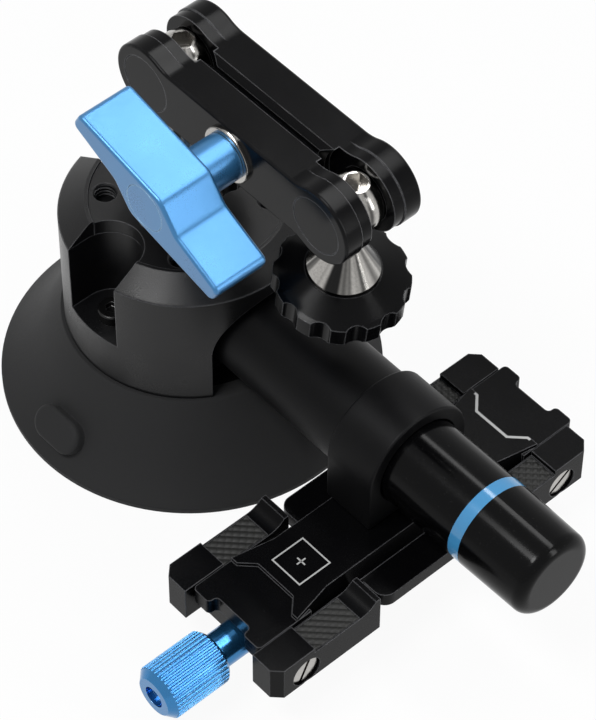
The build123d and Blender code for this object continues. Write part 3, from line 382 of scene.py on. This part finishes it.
cupRubber = makeFinish("cupRubber", cupRubberLook)
gripRubber = makeFinish("gripRubber", gripRubberLook)
housingBlack = makeFinish("housingBlack", housingLook)
tubeBlack = makeFinish("tubeBlack", tubeLook)
plungerGloss = makeFinish("plungerGloss", plungerLook)
ringBlue = makeFinish("ringBlue", ringLook)
armBlack = makeFinish("armBlack", armLook)
clampBlack = makeFinish("clampBlack", clampLook)
knobBlue = makeFinish("knobBlue", blueLook)
knurlBlue = makeFinish("knurlBlue", knurlLook)
turnedSteel = makeFinish("turnedSteel", steelLook)
screwBlack = makeFinish("screwBlack", screwLook)
silverPaint = makeFinish("silverPaint", paintLook)

finishOf = {
    "cup_rubber": cupRubber, "grip_rubber": gripRubber, "housing_black": housingBlack,
    "drum_black": housingBlack,
    "tube_black": tubeBlack, "plunger_black": plungerGloss, "ring_blue": ringBlue,
    "arm_black": armBlack, "clamp_black": clampBlack, "knob_blue": knobBlue,
    "bright_steel": turnedSteel, "screw_black": screwBlack,
}
ownFinish = {"clamp_knob": knurlBlue}  # bright turned knob among the satin blue pieces
for part in frame["record"]["subparts"]:
    piece = nodes[part["node"]]
    piece.data.materials.clear()
    piece.data.materials.append(ownFinish.get(part["node"], finishOf[part["material_slot"]]))
print("materials:", len(bpy.data.materials))


def newPiece(name, points, faces, material, body, smooth=True):
    mesh = bpy.data.meshes.new(name)
    mesh.from_pydata([tuple(p) for p in points], [], faces)
    work = bmesh.new()
    work.from_mesh(mesh)
    bmesh.ops.recalc_face_normals(work, faces=work.faces)
    work.to_mesh(mesh)
    work.free()
    for face in mesh.polygons:
        face.use_smooth = smooth
    piece = bpy.data.objects.new(name, mesh)
    bpy.context.scene.collection.objects.link(piece)
    mesh.materials.append(material)
    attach(piece, body)
    return piece


quarterInchThread = {
    "pitch": 1.27 * mm, "stepsPerTurn": 40, "fadeSteps": 12, "inset": 0.6 * mm, "bite": 0.01 * mm,
    "section": [(0, -0.42), (1, -0.08), (1, 0.08), (0, 0.42)],  # height and place along one pitch
}


def threadRidge(name, top, direction, radius, length, depth, inside, material, body):
    # one helical ridge: inside=True stands in from a hole's wall, else out from a stud
    pitch, stepsPerTurn = quarterInchThread["pitch"], quarterInchThread["stepsPerTurn"]
    section, fadeSteps = quarterInchThread["section"], quarterInchThread["fadeSteps"]
    across = direction.orthogonal().normalized()
    other = direction.cross(across)
    steps = int(length / pitch * stepsPerTurn)
    sign = -1 if inside else 1
    points, faces = [], []
    for step in range(steps + 1):
        angle = step / stepsPerTurn * 2 * math.pi
        fade = min(1.0, step / fadeSteps, (steps - step) / fadeSteps)
        way = across * math.cos(angle) + other * math.sin(angle)
        along = step / stepsPerTurn * pitch
        for rise, shift in section:
            out = radius + sign * (depth * rise * fade - quarterInchThread["bite"])
            points.append(top + direction * (along + shift * pitch) + way * out)
    for step in range(steps):
        a, b = step * 4, step * 4 + 4
        for k in range(4):
            faces.append((a + k, b + k, b + (k + 1) % 4, a + (k + 1) % 4))
    faces.append((0, 1, 2, 3))
    faces.append(tuple(steps * 4 + k for k in (3, 2, 1, 0)))
    return newPiece(name, points, faces, material, body)


mountOf = {mount["name"]: mount for mount in frame["record"]["mounts"]}
threadDepth = {"hole": 0.35 * mm, "stud": 0.12 * mm}
for name, mount in mountOf.items():
    if mount["kind"] not in ("threaded_hole", "pin"):
        continue
    direction = Vector(mount["axis"])
    radius, length = mount["dims"]["r_mm"] * mm, mount["dims"]["length_mm"] * mm
    isHole = mount["kind"] == "threaded_hole"
    inset = quarterInchThread["inset"]
    top = Vector(mount["pos_m"]) - direction * (length / 2 - inset)
    threadRidge(
        name + "Ridge", top, direction, radius, length - 2 * inset,
        threadDepth["hole" if isHole else "stud"], isHole,
        housingBlack if isHole else turnedSteel, "base" if isHole else "free_stud",
    )
print("threads cut")


gripPad = {
    "relief": 0.5 * mm, "pitch": 2.0 * mm, "fullness": 0.7, "weakRibs": 0.55, "samples": 10,
    "edge": 0.2 * mm,
}


def ribHeight(x, y, crossed):
    # diagonal ribs, cut by a second set that is shallower on a near pad
    turn = math.pi / math.sqrt(2) / gripPad["pitch"]
    first = abs(math.sin((x - y) * turn)) ** gripPad["fullness"]
    second = abs(math.sin((x + y) * turn)) ** gripPad["fullness"]
    floor = 0.0 if crossed else gripPad["weakRibs"]
    return first * (floor + (1 - floor) * second)


def makeGripPads(fork, body, crossed):
    # rubber pads with low ribs, one for each jaw of a fork
    node = fork + "_grip_pads"
    low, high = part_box(node)
    margin = low.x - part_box(fork + "_left_jaw")[0].x
    for sideName in ("left", "right"):
        jawLow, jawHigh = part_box(fork + "_" + sideName + "_jaw")
        start, width = jawLow.x + margin, jawHigh.x - jawLow.x - 2 * margin
        spacing = gripPad["pitch"] / gripPad["samples"]
        across, along = round(width / spacing), round((high.y - low.y) / spacing)
        points, faces = [], []
        for j in range(along + 1):
            for i in range(across + 1):
                x, y = start + width * i / across, low.y + (high.y - low.y) * j / along
                wave = ribHeight(x - start, y - low.y, crossed)
                border = min(i, across - i, j, along - j) * spacing
                lift = min(1.0, border / gripPad["edge"])
                points.append((x, y, high.z - gripPad["relief"] * (1 - wave * lift)))
        row = across + 1
        for j in range(along):
            for i in range(across):
                a = j * row + i
                faces.append((a, a + 1, a + row + 1, a + row))
        rim = list(range(across + 1))
        rim += [j * row + across for j in range(1, along + 1)]
        rim += [along * row + i for i in range(across - 1, -1, -1)]
        rim += [j * row for j in range(along - 1, 0, -1)]
        base = len(points)
        points += [(points[k][0], points[k][1], low.z) for k in rim]
        count = len(rim)
        for k in range(count):
            faces.append((rim[k], base + k, base + (k + 1) % count, rim[(k + 1) % count]))
        faces.append(tuple(base + k for k in range(count)))
        pad = newPiece(node + "_" + sideName, points, faces, gripRubber, body)
        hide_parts(node)


makeGripPads("near", "near_fork", False)
makeGripPads("far", "base", True)
print("grip pads moulded")


paint = {"height": 0.2 * mm, "proud": 0.06 * mm, "sharpestMitre": 0.3}


def paintedLine(name, corners, width, top, closed=False):
    # a flat painted line of even width with mitred corners, just proud of the clamp bar
    count = len(corners)
    points, faces = [], []
    for k in range(count):
        here = Vector(corners[k])
        before = Vector(corners[k - 1]) if closed or k > 0 else None
        after = Vector(corners[(k + 1) % count]) if closed or k < count - 1 else None
        first = (here - before).normalized() if before is not None else (after - here).normalized()
        second = (after - here).normalized() if after is not None else first
        normal = Vector((-(first + second).y, (first + second).x)).normalized()
        spread = width / 2 / max(paint["sharpestMitre"], normal.dot(Vector((-first.y, first.x))))
        for side in (-1, 1):
            for z in (top - paint["height"], top):
                edge = here + normal * spread * side
                points.append((edge.x, edge.y, z))
    spans = count if closed else count - 1
    for k in range(spans):
        a, b = k * 4, (k + 1) % count * 4
        for m, n in ((0, 1), (1, 3), (3, 2), (2, 0)):
            faces.append((a + m, a + n, b + n, b + m))
    if not closed:
        faces.append((0, 1, 3, 2))
        faces.append((spans * 4, spans * 4 + 2, spans * 4 + 3, spans * 4 + 1))
    return newPiece(name, points, faces, silverPaint, "base", smooth=False)


barLow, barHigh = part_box("clamp_bar")
barMiddle = Vector(((barLow.x + barHigh.x) / 2, (barLow.y + barHigh.y) / 2))
paintTop = barHigh.z + paint["proud"]
accent = {
    "halfWidth": 11.4 * mm, "stepHalf": 10.4 * mm, "innerHalf": 6.2 * mm,
    "far": 44.9 * mm, "near": 40.7 * mm, "lineWidth": 0.8 * mm,
}
accentCorners = [
    (-accent["halfWidth"], accent["far"]), (-accent["stepHalf"], accent["far"]),
    (-accent["innerHalf"], accent["near"]), (accent["innerHalf"], accent["near"]),
    (accent["stepHalf"], accent["far"]), (accent["halfWidth"], accent["far"]),
]
accentPlaces = [barMiddle + Vector(c) for c in accentCorners]
paintedLine("accentLine", accentPlaces, accent["lineWidth"], paintTop)
badge = {"half": 5.6 * mm, "centre": -31.9 * mm, "lineWidth": 0.45 * mm, "mark": 1.6 * mm}
badgeMiddle = barMiddle + Vector((0, badge["centre"]))
badgeCorners = [badgeMiddle + Vector(c) * badge["half"] for c in ((-1, -1), (1, -1), (1, 1), (-1, 1))]
paintedLine("badgeFrame", badgeCorners, badge["lineWidth"], paintTop, closed=True)
for name, way in (("badgeMarkAcross", Vector((1, 0))), ("badgeMarkAlong", Vector((0, 1)))):
    ends = [badgeMiddle - way * badge["mark"], badgeMiddle + way * badge["mark"]]
    paintedLine(name, ends, badge["lineWidth"], paintTop)
print("painted lines drawn")


def seenRays(tree, rays):
    # 1 for what the camera sees, straight, through glass or in a reflection
    direct = mathNode(
        tree, (1, 4), "MAXIMUM", rays.outputs["Is Camera Ray"], rays.outputs["Is Transmission Ray"])
    return mathNode(tree, (2, 4), "MAXIMUM", direct, rays.outputs["Is Glossy Ray"])


floorLook = {"size": 8, "drop": 0.2 * mm, "color": (0.86, 0.86, 0.86, 1), "whiteShare": 0.94}


def makeFloor():
    # white as seen, with a little of the plain floor kept so that it takes a shadow
    height = min(0.0, cadLow.z) - floorLook["drop"]
    bpy.ops.mesh.primitive_plane_add(size=floorLook["size"], location=(0, 0, height))
    floor = bpy.context.object
    floor.name = "floor"
    material = bpy.data.materials.new("paleFloor")
    material.use_nodes = True
    tree = material.node_tree
    tree.nodes.clear()
    output = addNode(tree, "ShaderNodeOutputMaterial", (4, 0))
    diffuse = addNode(tree, "ShaderNodeBsdfDiffuse", (0, 1))
    diffuse.inputs["Color"].default_value = floorLook["color"]
    glow = addNode(tree, "ShaderNodeEmission", (0, -1))
    glow.inputs["Strength"].default_value = 1.0
    blend = addNode(tree, "ShaderNodeMixShader", (3, 0))
    rays = addNode(tree, "ShaderNodeLightPath", (-2, 3))
    share = mathNode(tree, (1, 3), "MULTIPLY", seenRays(tree, rays), floorLook["whiteShare"])
    tree.links.new(share, blend.inputs[0])
    tree.links.new(diffuse.outputs[0], blend.inputs[1])
    tree.links.new(glow.outputs[0], blend.inputs[2])
    tree.links.new(blend.outputs[0], output.inputs["Surface"])
    floor.data.materials.append(material)


worldLook = {"fill": 0.17, "fillColor": (0.9, 0.95, 1.0, 1)}


def makeWorld():
    world = bpy.data.worlds.new("studio")
    bpy.context.scene.world = world
    world.use_nodes = True
    tree = world.node_tree
    tree.nodes.clear()
    output = addNode(tree, "ShaderNodeOutputWorld", (4, 0))
    plain = addNode(tree, "ShaderNodeBackground", (2, 1))
    plain.inputs["Color"].default_value = worldLook["fillColor"]
    plain.inputs["Strength"].default_value = worldLook["fill"]
    white = addNode(tree, "ShaderNodeBackground", (2, -1))
    white.inputs["Strength"].default_value = 1.0
    blend = addNode(tree, "ShaderNodeMixShader", (3, 0))
    rays = addNode(tree, "ShaderNodeLightPath", (0, 2))
    tree.links.new(seenRays(tree, rays), blend.inputs[0])
    tree.links.new(plain.outputs[0], blend.inputs[1])
    tree.links.new(white.outputs[0], blend.inputs[2])
    tree.links.new(blend.outputs[0], output.inputs["Surface"])


softboxes = {
    "overhead": {"place": (0.05, 0.35, 0.9), "size": (0.9, 0.14), "power": 3.4},
    "front": {"place": (0.0, -0.45, 0.92), "size": (0.45, 0.22), "power": 5.5},
    "farRight": {"place": (0.75, 0.25, 0.35), "size": (0.1, 0.6), "power": 1.5},
}


def addSoftbox(name, place, aim, size, power):
    lamp = bpy.data.lights.new(name, "AREA")
    lamp.shape = "RECTANGLE"
    lamp.size, lamp.size_y = size
    lamp.energy = power
    holder = bpy.data.objects.new(name, lamp)
    holder.location = place
    holder.rotation_mode = "QUATERNION"
    holder.rotation_quaternion = (Vector(aim) - Vector(place)).to_track_quat("-Z", "Y")
    bpy.context.scene.collection.objects.link(holder)


makeFloor()
makeWorld()
centre = (cadLow + cadHigh) / 2
for name, box in softboxes.items():
    addSoftbox(name, box["place"], centre, box["size"], box["power"])

camera = {  # degrees, metres and millimetres of lens
    "azimuth": 47.99, "elevation": 50.56, "roll": 0.35, "distance": 1.0116,
    "lens": 168.9, "aimRight": 0.0316, "aimUp": 0.0003,
}


def placeCamera():
    turn, rise, roll = (math.radians(camera[k]) for k in ("azimuth", "elevation", "roll"))
    back = Vector((math.sin(turn) * math.cos(rise), -math.cos(turn) * math.cos(rise), math.sin(rise)))
    level = Vector((math.cos(turn), math.sin(turn), 0))
    upright = back.cross(level)
    right = level * math.cos(roll) + upright * math.sin(roll)
    up = upright * math.cos(roll) - level * math.sin(roll)
    spot = right * camera["aimRight"] + up * camera["aimUp"] + back * camera["distance"]
    data = bpy.data.cameras.new("camera")
    data.lens = camera["lens"]
    data.clip_start, data.clip_end = 0.05, 20
    holder = bpy.data.objects.new("camera", data)
    holder.matrix_world = Matrix.Translation(spot) @ Matrix((right, up, back)).transposed().to_4x4()
    bpy.context.scene.collection.objects.link(holder)
    bpy.context.scene.camera = holder


placeCamera()
bpy.context.scene.view_settings.view_transform = "Standard"
print("stage, lights and camera set")
